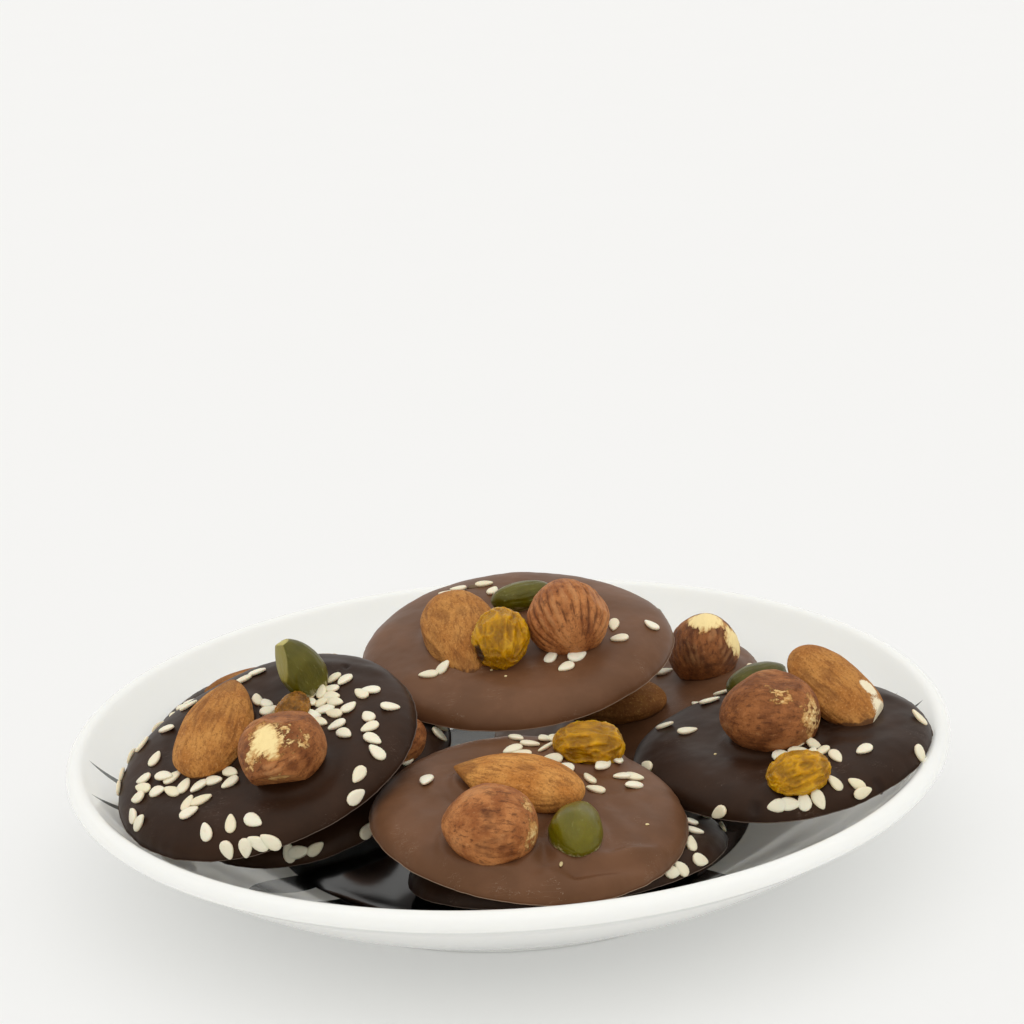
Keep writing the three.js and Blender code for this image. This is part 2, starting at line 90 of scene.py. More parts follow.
# %% The discs and their toppings
# A wave of the edge: depth and turn of its three lobes, then of its four lobes.
# A topping: kind, x, y, turn, rise of its tip, height of its middle above the dome, scale.
# A sesame seed: x, y and the way its point turns.
DISCS = {
    "dark_left": {
        "chocolate": "dark", "at": (-42.9, -23.2, 29.5), "lean": (12.7, -14.2), "radius": 28,
        "wave": (0.27, -163, 0.22, -85),
        "toppings": [
            ("almond", -7.4, 3.4, 74, 6, 1.9, 1.02),
            ("hazelnut", 6, -13.5, 6, 12, 4.4, 0.95),
            ("raisin", 7, 2.4, 60, 10, 1.6, 0.62),
            ("pistachio", 9.3, 11.2, 130, 58, 4.2, 0.95),
        ],
        "seeds": [
            (-3.5, 19.6, 196), (-17.9, 11.2, 322), (21.1, -14.1, 135), (-19.7, 2.2, 67),
            (-5.1, -9.2, 312), (-5.1, -12.3, 198), (17.6, -18.7, 236), (-16, -5.5, 30),
            (-21.7, -2.7, 157), (-21.7, -5.3, 138), (-13.8, -9, 64), (-18.8, -7.9, 338),
            (-16, -9.5, 136), (-22.7, -7.1, 153), (-8.3, -10, 344), (-11, -10.5, 219),
            (-10.4, -14.8, 13), (-5.1, -23, 79), (-1.1, -23.8, 318), (-9.6, -22.8, 86),
            (-1, -27.3, 136), (1.1, -27.5, 132), (-3.3, -27.3, 251), (-6.5, -26.6, 264),
            (10.8, 8.6, 41), (13.8, 7.3, 133), (12.2, 6.9, 83), (13.8, 4.9, 334), (12, 4.1, 26),
            (14.5, 2.8, 324), (9.9, 4.2, 291), (12.4, 1.6, 187), (14.2, -0.7, 142),
            (16.9, -0.1, 51), (14.2, 11.2, 227), (16.3, 9.3, 235), (19.2, 3.7, 124),
            (20.9, 4.4, 181), (24.1, -1.9, 7), (20.3, -4.3, 111), (20.4, -7.4, 206),
            (14.6, -4.4, 198), (15.9, -7.7, 309), (20.7, -10.8, 318), (9.8, 0.5, 357),
            (11.4, -1.8, 316), (-0.3, 10.3, 96), (1.3, 8.9, 105), (1.8, 6.6, 35),
            (-12.9, -14.4, 58), (-12.6, -17.2, 6), (-23.8, -10.4, 97), (-22.5, -13, 5),
            (-0.6, 21.1, 355), (-14.1, 17.5, 352), (-17.9, 21, 45), (-21, 17.8, 48),
            (-22.9, 9.9, 51), (-25.6, 10.2, 74), (-27.1, 4.8, 81), (-27.5, 1.2, 88),
            (16.4, -22.2, 37), (-17.5, -5, 331),
        ],
    },
    "milk_top": {
        "chocolate": "milk", "at": (2.4, 12.7, 33.6), "lean": (7.9, -2.2), "radius": 29.9,
        "wave": (0.36, 16, 0.31, 27),
        "toppings": [
            ("almond", -10, -4.6, -82, -12, 2, 1.03),
            ("raisin", -2.4, -11.6, 80, 34, 4.2, 1.02),
            ("pistachio", 2.2, 8.6, 22, 0, 2.4, 0.95),
            ("hazelnut", 10.4, -7, 100, 28, 5.2, 1),
        ],
        "seeds": [
            (19.2, -2.5, 261), (26.3, -2, 135), (19.9, -7.9, 188), (11.5, -13.8, 28),
            (6.8, -13.4, 52), (9.3, -17.4, 212), (-16.4, -15, 180), (-13.5, -13.8, 33),
            (-3.6, 16.6, 74), (-5.3, 20.6, 356), (-10.5, 19.6, 155), (-12.7, 17.9, 156),
        ],
    },
    "milk_front": {
        "chocolate": "milk", "at": (3.5, -41.7, 22.5), "lean": (5.6, 5.3), "radius": 27.2,
        "wave": (0.38, -170, 0.2, 20),
        "toppings": [
            ("almond", -3, 0.8, 158, 0, 2.3, 1.01),
            ("hazelnut", -7.5, -16, 186, 4, 3.1, 1),
            ("pistachio", 6.9, -14, -98, -4, 1.9, 1.02),
            ("raisin", 10.3, 15.6, 4, 0, 2, 1.05),
        ],
        "seeds": [
            (-12.9, 23.4, 29), (-18.3, 3.9, 261), (-2.4, 21.8, 307), (-0.1, 18.6, 352),
            (2.5, 21.8, 240), (4.3, 22.8, 72), (2.9, 17.6, 224), (-3.2, 16.6, 214),
            (-1.6, 14.8, 172), (4, 12.7, 153), (6.1, 9.7, 145), (12.4, 10.4, 232),
            (15.2, 12.8, 278), (10, 6.1, 111), (11, 2.3, 154), (18, 7.9, 353), (15.9, 7.6, 200),
            (17.7, 4.9, 217),
        ],
    },
    "dark_right": {
        "chocolate": "dark", "at": (50.3, -15.6, 21.6), "lean": (2, -6.2), "radius": 27.1,
        "wave": (0.5, 109, 0.4, -34),
        "toppings": [
            ("hazelnut", -1.7, -3.6, 172, 4, 4.4, 1.13),
            ("almond", 11.6, 4.6, 125, 30, 3.5, 0.94),
            ("pistachio", -1.6, 16.9, 20, 4, 2.4, 0.9),
            ("raisin", 0.6, -22.6, 14, 4, 2.2, 0.94),
        ],
        "seeds": [
            (-8.4, 20.9, 341), (-11.2, 16.6, 3), (9.7, 2.6, 72), (10.9, -0.8, 51),
            (-20.4, 9.7, 338), (-16.6, 4.5, 20), (13.2, -14.6, 211), (23, -12.8, 323),
            (8, -15.9, 286), (-24.9, -3.8, 114), (-13.9, -22.7, 174), (1.8, -9.9, 204),
            (4.6, -9.9, 140), (5.9, -13.5, 219), (-1.1, -12.5, 340), (1.8, -11.9, 3),
            (3.1, -13.2, 116), (4, -14.3, 66), (4.7, -16.6, 130), (6.4, -23.7, 146),
            (10.2, -23.4, 152), (10.7, -24.4, 27), (3.1, -26.5, 294), (0.6, -26.6, 91),
            (-4.1, -26.3, 173), (-1.9, -26.6, 348), (25.1, -1.4, 133),
        ],
    },
    "milk_back": {
        "chocolate": "milk", "at": (23.8, 31.9, 12.8), "lean": (1.1, -14.5), "radius": 28,
        "wave": (0.3, 40, 0.2, 110),
        "toppings": [
            ("hazelnut", 19, -3.3, 70, 30, 4.2, 0.95),
            ("almond", -2.5, -13.1, 165, 10, 3.1, 1),
            ("pistachio", 7.3, 20.5, 30, 8, 3.4, 0.9),
            ("raisin", -12, 10, 50, 0, 2, 0.9),
        ],
        "seeds": [
            (9.9, -0.4, 9), (26.7, -4.1, 60), (15.2, -19, 155), (23.8, 8.4, 52),
            (24.7, 5.3, 292), (13.3, 13.5, 103), (13.1, 9.3, 223), (17.2, 13.8, 344),
            (-8.5, 19.2, 155), (-3.3, 17, 275),
        ],
    },
    "dark_under_left": {
        "chocolate": "dark", "at": (-37.4, -9.5, 20.6), "lean": (13.6, -10.3), "radius": 26.9,
        "wave": (0.25, 60, 0.2, 0),
        "toppings": [
            ("hazelnut", 18.6, -6, 30, 0, 1.6, 0.7),
            ("almond", 1, 13, 15, 0, 1.6, 0.86),
        ],
        "seeds": [
            (-2.7, -26.1, 87), (-1, -26.4, 359), (2, -26.4, 28), (11.2, -23.9, 56),
            (20, -10.2, 53), (-2.4, -23.4, 120), (3, 22.6, 103), (8.8, 22.8, 344),
            (-2.4, 22.4, 104), (25.6, -2.2, 350), (25.9, 0.6, 5),
        ],
    },
    "dark_back_left": {
        "chocolate": "dark", "at": (-43.3, 15.4, 14.6), "lean": (9.7, 6.8), "radius": 26.7,
        "wave": (0.3, -30, 0.2, 70),
        "toppings": [
            ("almond", -6.4, 10, 190, 0, 2.5, 0.94),
            ("hazelnut", 12.5, 9, 60, 10, 3.6, 0.88),
            ("raisin", 7, 20.6, 0, 0, 2, 0.86),
        ],
        "seeds": [
            (-20.4, 5, 0), (-21.8, 7.3, 120), (-20.9, 0.5, 241), (-20, 9.2, 1), (-22.8, 4, 121),
            (-22.1, -1.9, 122), (13.6, 17.9, 172), (20.7, 4.6, 103), (20.6, 0.1, 223),
        ],
    },
    "dark_under_front": {
        "chocolate": "dark", "at": (9.5, -33.5, 11), "lean": (-9.6, -4.4), "radius": 28.4,
        "wave": (0.1, -70, 0.11, 75),
        "toppings": [],
        "seeds": [
            (21.6, -13.3, 95), (22.5, -2.5, 93), (27.9, 1.8, 260), (19.1, -20.4, 169),
            (17.5, -21.8, 22), (22.6, -16.5, 19), (22.7, -7.5, 1), (25.2, 4.3, 52),
        ],
    },
}
for name, disc in DISCS.items():
    print(name, "carries", [topping[0] for topping in disc["toppings"]])

# %% [markdown]
# ## From a bmesh to a piece
# A bmesh is Blender's workshop bench: shapes are made and bent there, and only then become a
# mesh object. One helper does the last steps for every piece, so that no piece forgets to be
# smooth, to point outwards, to ride on the part and to hide the CAD solids it stands for.

# %% Finishing a piece
PIECES = []


def finish_piece(name, bm, material, nodes):
    """Turns a bmesh in millimetres into a smooth piece that stands for the CAD nodes."""
    bmesh.ops.remove_doubles(bm, verts=bm.verts, dist=1e-4)
    bmesh.ops.recalc_face_normals(bm, faces=bm.faces)
    bmesh.ops.scale(bm, vec=(MM, MM, MM), verts=bm.verts)
    for face in bm.faces:
        face.smooth = True
    mesh = bpy.data.meshes.new(name)
    bm.to_mesh(mesh)
    bm.free()
    mesh.materials.append(material)
    piece = bpy.data.objects.new(name, mesh)
    bpy.context.scene.collection.objects.link(piece)
    if nodes:
        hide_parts(*nodes)
    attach(piece, "root")
    PIECES.append(piece)
    print(name, "has", len(mesh.polygons), "faces")
    return piece


def spin_profile(bm, profile, steps):
    """Turns a list of (radius, height) pairs round the Z axis."""
    points = [bm.verts.new((radius, 0, height)) for radius, height in profile]
    edges = [bm.edges.new(pair) for pair in zip(points, points[1:])]
    bmesh.ops.spin(
        bm, geom=points + edges, cent=(0, 0, 0), axis=(0, 0, 1),
        angle=math.tau, steps=steps, use_merge=True,
    )
    bmesh.ops.remove_doubles(bm, verts=bm.verts, dist=1e-3)


# %% [markdown]
# ## Shader sums in plain Python
# A material's maths is a chain of small nodes. Written node by node it is long and hard to
# read, so a thin wrapper round a socket lets an expression such as `1 - mask` or
# `noise * 0.3 + 0.2` add its Math nodes by itself. One method makes every other node.

# %% Wires and finishes
class Wire:
    """A value that flows out of a node's socket, ready for sums."""

    def __init__(self, finish, socket):
        self.finish = finish
        self.socket = socket

    def sum(self, operation, *values):
        return self.finish.node("ShaderNodeMath", {"operation": operation}, *values)

    def __add__(self, other):
        return self.sum("ADD", self, other)

    __radd__ = __add__

    def __sub__(self, other):
        return self.sum("SUBTRACT", self, other)

    def __rsub__(self, other):
        return self.sum("SUBTRACT", other, self)

    def __mul__(self, other):
        return self.sum("MULTIPLY", self, other)

    __rmul__ = __mul__

    def __truediv__(self, other):
        return self.sum("DIVIDE", self, other)

    def __pow__(self, other):
        return self.sum("POWER", self, other)

    def fades(self, low, high):
        """0 below low, 1 above high and smooth between; low above high turns it round."""
        if low > high:
            return 1 - self.fades(high, low)
        return self.finish.node(
            "ShaderNodeMapRange", {"interpolation_type": "SMOOTHSTEP"}, self, low, high, 0, 1)


class Finish:
    """The nodes of a material, or of the world, that end in one shader."""

    def __init__(self, owner, shader="Principled BSDF"):
        owner.use_nodes = True
        self.owner = owner
        self.tree = owner.node_tree
        self.shader = self.tree.nodes[shader]

    def node(self, kind, settings, *values, out=0, **named):
        """Adds a node: its settings first, then its sockets in order or by name."""
        node = self.tree.nodes.new(kind)
        for key, value in settings.items():
            setattr(node, key, value)
        for key, value in [*enumerate(values), *named.items()]:
            if value is not None:
                self.feed(node.inputs[key], value)
        return Wire(self, node.outputs[out])

    def feed(self, socket, value):
        if isinstance(value, Wire):
            self.tree.links.new(value.socket, socket)
        elif isinstance(value, (tuple, list)) and socket.type == "RGBA":
            socket.default_value = (*value, 1)[:4]
        else:
            socket.default_value = value

    def place(self):
        """The spot on the object, in millimetres."""
        spot = self.node("ShaderNodeTexCoord", {}, out="Object")
        return self.node("ShaderNodeMapping", {}, Vector=spot, Scale=(1 / MM,) * 3)

    def attribute(self, name, out="Fac"):
        return self.node("ShaderNodeAttribute", {"attribute_name": name}, out=out)

    def noise(self, spot, size, detail=3, roughness=0.5):
        """Clouds about size millimetres across."""
        return self.node(
            "ShaderNodeTexNoise", {}, out="Fac",
            Vector=spot, Scale=1 / size, Detail=detail, Roughness=roughness)

    def stretched(self, spot, scale):
        return self.node("ShaderNodeVectorMath", {"operation": "MULTIPLY"}, spot, scale)

    def mix(self, share, first, second):
        """The first colour, giving way to the second as the share goes to 1."""
        unused = [None] * 5
        return self.node(
            "ShaderNodeMix", {"data_type": "RGBA"}, share, *unused, first, second, out=2)

    def coated(self, colour, *coats):
        """The colour under thin coats, each a mask and the tint that shows where it is 1."""
        for mask, code in coats:
            colour = self.mix(mask, colour, tint(code))
        return colour

    def bump(self, height, depth, strength):
        """Relief of the given depth in millimetres where the height goes from 0 to 1."""
        return self.node(
            "ShaderNodeBump", {}, Strength=strength, Distance=depth * MM, Height=height)

    def surface(self, **inputs):
        """Feeds the shader's own sockets, and gives back the material or world it belongs to."""
        for name, value in inputs.items():
            self.feed(self.shader.inputs[name.replace("_", " ")], value)
        return self.owner


def material_nodes(name):
    return Finish(bpy.data.materials.new(name))


def tint(code):
    """A screen colour such as '6d4c3b' as the linear light a shader wants."""
    parts = [int(code[i:i + 2], 16) / 255 for i in (0, 2, 4)]
    return tuple(c / 12.92 if c <= 0.04045 else ((c + 0.055) / 1.055) ** 2.4 for c in parts)


print("milk chocolate in linear light:", [round(c, 3) for c in tint("6d4c3b")])

# %% [markdown]
# ## The porcelain bowl
# The real bowl is jiggered: a blade shapes the turning clay, so its wall is one curve spun
# round an axis, from the foot ring over the rolled lip to the flat floor. A lathe modifier on
# a curve could do it, but `bmesh.ops.spin` gives a closed skin at once. The inside carries a
# black printed field under the glaze, with leaves that reach up the wall.

# %% The bowl's shape
LIP_RADIUS = 80.84
LIP_HEIGHT = 23.3
LIP_ROLL = 1.8
LIP_ARC = (-60, 140)
LIP_TUCK = 0.6
LIP_BLEND = 5
FLOOR_RADIUS = 44
FLOOR_HEIGHT = 5.4
FLOOR_REACH = 3
WALL_SWEEP = 1.6
WALL_THICKNESS = 3
WALL_OUTSIDE = 0.93
FOOT_OUTER = 47
FOOT_INNER = 44.4
FOOT_ROUND = 0.5
FOOT_FLARE = 0.15
FOOT_TOP = 1.6
FOOT_FILLET = 1.4
FOOT_RECESS = 2
RECESS_FILLET = 0.8
RECESS_DROP = 0.35
OUTSIDE_STEPS = 23
INSIDE_STEPS = 36
NEARER_THE_LIP = 1.3
BOWL_STEPS = 240


def between(low, high, share):
    return low + (high - low) * share


def wall_height(radius):
    """The height of the wall's inner side, which is flat on the floor and steepest at the lip."""
    out = max(0, radius - FLOOR_RADIUS)
    span = LIP_RADIUS - LIP_ROLL - FLOOR_RADIUS
    return FLOOR_HEIGHT + (LIP_HEIGHT - FLOOR_HEIGHT) * (out / span) ** WALL_SWEEP


def arc(middle, half_width, half_height, height, first, last, steps):
    """Points on part of an oval, from the first to the last angle in degrees."""
    points = []
    for step in range(steps):
        angle = math.radians(between(first, last, step / (steps - 1)))
        out = middle + half_width * math.cos(angle)
        points.append((out, height + half_height * math.sin(angle)))
    return points


def bowl_profile():
    """From the middle of the underside over the foot and the lip to the middle of the floor."""
    inner = FOOT_INNER - FOOT_ROUND
    profile = [(0, FOOT_RECESS), (inner - RECESS_FILLET, FOOT_RECESS)]
    profile.append((inner, FOOT_RECESS - RECESS_DROP))
    middle, half = (inner + FOOT_OUTER) / 2, (FOOT_OUTER - inner) / 2
    profile += arc(middle, half, FOOT_ROUND, FOOT_ROUND, 180, 360, 9)
    profile.append((FOOT_OUTER + FOOT_FLARE, FOOT_TOP))
    start = FOOT_OUTER + FOOT_FILLET
    for step in range(OUTSIDE_STEPS + 1):
        radius = between(start, LIP_RADIUS - LIP_TUCK, WALL_OUTSIDE * step / OUTSIDE_STEPS)
        profile.append((radius, wall_height(radius) - WALL_THICKNESS))
    profile += arc(LIP_RADIUS, LIP_ROLL, LIP_ROLL, LIP_HEIGHT, *LIP_ARC, 17)
    start, step_up = profile[-1][0], profile[-1][1] - wall_height(profile[-1][0])
    for step in range(1, INSIDE_STEPS + 1):
        share = (step / INSIDE_STEPS) ** NEARER_THE_LIP
        radius = between(start, FLOOR_RADIUS - FLOOR_REACH, share)
        near_lip = max(0, 1 - (start - radius) / LIP_BLEND)
        profile.append((radius, wall_height(radius) + step_up * near_lip * near_lip))
    profile += [(radius, FLOOR_HEIGHT) for radius in (25, 12, 0)]
    return profile


print("the bowl's profile has", len(bowl_profile()), "points")

# %% [markdown]
# The print is a plain field with leaves round it, which is drawn with sums on the place: a
# leaf is a stretch of radius and a sideways distance that its belly has to cover. An image
# could hold it too, but sums stay sharp at any distance and need no map.

# %% The bowl's glaze
# Rings of leaves: count, offset, start and end radius, half width, swirl to the tip.
LEAVES = [
    (9, 0.45, 36, 62, 5.6, 0.16),
    (4, 0.21, 38, 60, 3.8, -0.1),
    (1, -0.1, 60, 79, 1.4, 0.03),
    (1, -0.24, 62, 79, 1.5, -0.04),
    (1, 3.1, 62, 79.2, 1.5, 0.04),
    (1, 3.03, 58, 77, 1.3, -0.03),
]
FIELD_RADIUS = 45.5
INK_EDGE = 0.2
ABOVE_ZERO = 20
CLAY_LINE = 0.25


def leaf_ring(radius, angle, count, offset, start, end, width, swirl):
    """1 where a ring of like leaves covers the glaze."""
    along = (radius - start) / (end - start)
    along = along.sum("MINIMUM", along.sum("MAXIMUM", along, 0), 1)
    turn = (angle + offset + along * along * swirl) * (count / math.tau)
    across = turn.sum("FRACT", turn + ABOVE_ZERO) - 0.5
    side = across.sum("ABSOLUTE", across) * radius * (math.tau / count)
    belly = (along * (1 - along) * 4) ** 0.8 * width - INK_EDGE
    return (belly - side).fades(-INK_EDGE / 2, INK_EDGE / 2)


def porcelain():
    """White glaze over clay, with a black print inside."""
    glaze = material_nodes("glazed_porcelain")
    spot = glaze.place()
    x, y = (glaze.node("ShaderNodeSeparateXYZ", {}, spot, out=axis) for axis in "XY")
    radius = (x * x + y * y) ** 0.5
    angle = glaze.node("ShaderNodeMath", {"operation": "ARCTAN2"}, y, x)
    black = radius.fades(FIELD_RADIUS + INK_EDGE, FIELD_RADIUS - INK_EDGE)
    for leaf in LEAVES:
        black = black.sum("MAXIMUM", black, leaf_ring(radius, angle, *leaf))
    black = black * glaze.attribute("inside")
    ink = glaze.mix(glaze.noise(spot, 4, 3).fades(0.4, 0.7), tint("0b0d0e"), tint("141819"))
    ink = glaze.mix(radius.fades(64, 72), ink, tint("4a4e4c"))
    bare_clay = glaze.attribute("bare_clay")
    base = glaze.coated(glaze.mix(black, tint("f6f7f1"), ink), (bare_clay, "c9cabf"))
    dips = glaze.noise(spot, 9, 2)
    return glaze.surface(
        Base_Color=base, Roughness=0.08 + bare_clay * 0.4, IOR=1.5,
        Subsurface_Weight=0.6, Subsurface_Scale=0.009, Subsurface_Radius=(1.0, 0.95, 0.85),
        Normal=glaze.bump(dips, 0.05, 0.35))


def make_bowl():
    bm = bmesh.new()
    inside = bm.verts.layers.float.new("inside")
    bare = bm.verts.layers.float.new("bare_clay")
    spin_profile(bm, bowl_profile(), BOWL_STEPS)
    for vert in bm.verts:
        radius = math.hypot(vert.co.x, vert.co.y)
        on_top = radius < LIP_RADIUS - 1 and vert.co.z > wall_height(radius) - 0.6
        vert[inside] = 1.0 if on_top else 0.0
        vert[bare] = 1.0 if vert.co.z < CLAY_LINE else 0.0
    return finish_piece("porcelain_bowl", bm, porcelain(), ["bowl"])


make_bowl()

# %% [markdown]
# ## The chocolate
# A mendiant is a spoonful of tempered chocolate that spreads by itself: flat below, domed
# above, round at its shoulder and sharp where it meets the paper. It isn't a clean dome. It
# climbs a little against each nut that was pushed in, runs in soft rings from it, and its edge
# wanders. So the disc is spun first, fine enough to hold that relief, and then each of its
# points is moved by a height that is worked out from the toppings.

# %% The dome and its relief
DISC_HEIGHT = 5
DOME_POWER = 6
BANK_HEIGHT = 0.6
BANK_WIDTH = 1.5
RING_SPACING = 5.5
RING_REACH = 5
UNEVENNESS = 0.32
FINE_UNEVENNESS = 0.05
EDGE_CALM = 9
# A kind's length, width and thickness, how much it narrows to its tip, how much more so at the
# very end, how it bends sideways, and what its own relief below asks for.
KINDS = {
    "almond": {"size": (25, 14, 8), "taper": 0.2, "point": 0.22, "bend": 0, "tip": 0.35},
    "hazelnut": {
        "size": (16.5, 15.5, 14), "taper": 0.05, "point": 0.17, "bend": 0,
        "ribs": 0.02, "count": 9, "wander": 3,
    },
    "raisin": {"size": (12.5, 10.5, 8), "taper": 0, "point": 0, "bend": 0},
    "pistachio": {"size": (14, 9, 7.5), "taper": 0.14, "point": 0, "bend": 0.16, "fat": 0},
}
# How strongly the set chocolate keeps the rings round its toppings.
RINGS = {"milk_front": 0.42, "dark_right": 0.22, "dark_left": 0.14}
FAINT_RINGS = 0.1
# Folds of the poured skin: a line from one place to another, its height and half width.
FOLDS = {
    "milk_front": [
        (9, -20, 21, -14.5, 0.8, 1.2), (7, -23.2, 19.5, -18.6, -0.8, 1.1),
        (-14, -21, -2, -24, 0.4, 1.2),
    ],
    "dark_right": [(-19, 2, -15, -14, 0.3, 2.4), (14, 12, 24, 5, 0.3, 2)],
    "dark_left": [(12, 18, 22, 12, 0.3, 1.6), (-22, -10, -8, -22, 0.2, 2)],
    "milk_top": [(-20, -14, 4, -25, 0.25, 2.2)],
}
# Burst bubbles: x, y, radius and depth.
BUBBLES = {
    "dark_right": [(-7.9, -25.2, 1.1, 0.9), (14.3, -22.3, 1, 0.8)],
    "dark_left": [(-12.5, -16, 0.7, 0.4), (16.5, 14.5, 0.7, 0.5)],
}


def dome_height(distance, radius):
    """The clean dome is level in the middle and falls off steeply at its shoulder."""
    return DISC_HEIGHT * math.sqrt(1 - min(1, distance / radius) ** DOME_POWER)


def edge_radius(disc, angle):
    """A poured disc is round but for a few soft lobes."""
    three, three_turn, four, four_turn = disc["wave"]
    lobes = three * math.cos(3 * angle - math.radians(three_turn))
    return disc["radius"] + lobes + four * math.cos(4 * angle - math.radians(four_turn))


def disc_place(disc):
    lean_front, lean_right = (math.radians(angle) for angle in disc["lean"])
    turn = Matrix.Rotation(lean_right, 4, "Y") @ Matrix.Rotation(lean_front, 4, "X")
    return Matrix.Translation(disc["at"]) @ turn


def outside_topping(topping, x, y):
    """How far in millimetres a place on the disc is from a topping's outline, about."""
    kind, topping_x, topping_y, turn, rise, height, scale = topping
    length, width, thickness = (side * scale / 2 for side in KINDS[kind]["size"])
    upright = abs(math.sin(math.radians(rise)))
    length = between(length, thickness, upright)
    sunk = math.sqrt(max(0.2, 1 - (height / between(thickness, length, upright)) ** 2))
    offset = Matrix.Rotation(-math.radians(turn), 2) @ Vector((x - topping_x, y - topping_y))
    reach = math.hypot(offset.x / (length * sunk), offset.y / (width * sunk))
    if reach < 1e-6:
        return -width
    return (reach - 1) * offset.length / reach


def from_line(x, y, start_x, start_y, end_x, end_y):
    """How far a place on the disc is from a line."""
    line = Vector((end_x - start_x, end_y - start_y))
    offset = Vector((x - start_x, y - start_y))
    share = min(1, max(0, offset.dot(line) / line.length_squared))
    return (offset - line * share).length


def relief(name, x, y):
    """The height of the set chocolate over its clean dome at a place on the disc."""
    disc = DISCS[name]
    spot = Vector((x, y, 0)) + Vector(disc["at"])
    lift = UNEVENNESS * noise.noise(spot / 8) + FINE_UNEVENNESS * noise.noise(spot / 1.7)
    for topping in disc["toppings"]:
        away = max(0, outside_topping(topping, x, y))
        if away < 3 * RING_REACH:
            lift += BANK_HEIGHT * math.exp(-((away / BANK_WIDTH) ** 2))
            wander = 0.8 * noise.noise(spot / 5)
            rings = math.cos(math.tau * away / RING_SPACING + wander)
            rings *= math.exp(-away / RING_REACH)
            lift += RINGS.get(name, FAINT_RINGS) * rings * min(1, away)
    for *line, height, wide in FOLDS.get(name, []):
        lift += height * math.exp(-((from_line(x, y, *line) / wide) ** 2))
    return lift


def calm(share):
    """How much of the relief is left: none at the edge, where the share of the radius is 1."""
    return min(1, (1 - share) * EDGE_CALM)


def skin_height(name, x, y):
    """The height of the chocolate at a place on the disc, with its relief."""
    share = min(1, math.hypot(x, y) / edge_radius(DISCS[name], math.atan2(y, x)))
    return dome_height(share, 1) + relief(name, x, y) * calm(share)


for name in RINGS:
    print(name, "is", round(skin_height(name, 0, 0), 2), "mm high in the middle")

# %% Making a disc
DISC_STEPS = 220
DISC_RINGS = 76
FLANGE = 0.2
FLANGE_TOP = 0.16
FLANGE_FOOT = 0.02
BASE_INSET = 0.4
RELIEF_ABOVE = 0.2
BUBBLE_RIM = 1.6


def disc_profile(radius):
    """From the middle of the top over the shoulder to the middle of the underside."""
    profile = [(0, DISC_HEIGHT)]
    for step in range(1, DISC_RINGS + 1):
        share = math.sin(math.pi / 2 * step / DISC_RINGS)
        profile.append((radius * share, dome_height(share, 1)))
    profile += [(radius + FLANGE, FLANGE_TOP), (radius + FLANGE, FLANGE_FOOT)]
    profile += [(radius - BASE_INSET, 0), (radius * 0.7, 0), (radius * 0.35, 0), (0, 0)]
    return profile


def nicked_radius(disc, angle, share):
    """The edge with small nicks, which only the outermost points follow."""
    spot = Vector((math.cos(angle), math.sin(angle), disc["radius"])) * 6
    nicks = 0.2 * noise.noise(spot) + 0.14 * noise.noise(spot * 3.1)
    return edge_radius(disc, angle) + nicks * share ** 8


def chocolate_disc(name, disc, material):
    """Spins a disc, then moves each point to the wandering edge and the relief."""
    bm = bmesh.new()
    thin = bm.verts.layers.float.new("edge_highlight")
    bubble_shade_layer = bm.verts.layers.float.new("bubble_shade")
    radius = disc["radius"]
    spin_profile(bm, disc_profile(radius), DISC_STEPS)
    for vert in bm.verts:
        x, y, z = vert.co
        distance = math.hypot(x, y)
        wide = nicked_radius(disc, math.atan2(y, x), distance / radius)
        x, y = x * wide / radius, y * wide / radius
        # The flange ring is marked for a painted highlight along the sharp foot.
        vert[thin] = 1.0 if distance > radius + FLANGE / 4 else 0.0
        if z > RELIEF_ABOVE:
            z += relief(name, x, y) * calm(min(1, distance / radius))
            for bubble_x, bubble_y, size, depth in BUBBLES.get(name, []):
                away = math.hypot(x - bubble_x, y - bubble_y) / size
                if away < BUBBLE_RIM:
                    z -= depth * max(0, 1 - away * away)
                    # The hollow of a burst bubble is marked for painted shade.
                    vert[bubble_shade_layer] = max(vert[bubble_shade_layer], min(1, BUBBLE_RIM - away))
        vert.co = x, y, z
    bmesh.ops.transform(bm, matrix=disc_place(disc), verts=bm.verts)
    return finish_piece(f"{name}_chocolate", bm, material, [name])


print("a disc's profile has", len(disc_profile(DISCS["dark_left"]["radius"])), "points")

# %% [markdown]
# Tempered chocolate has a satin gloss, but far less than lacquer: its skin is rough on a very
# small scale, so its specular level is low. Its brown is even, with faint clouds, and over it
# lie hairline scratches and white dust where it was handled.

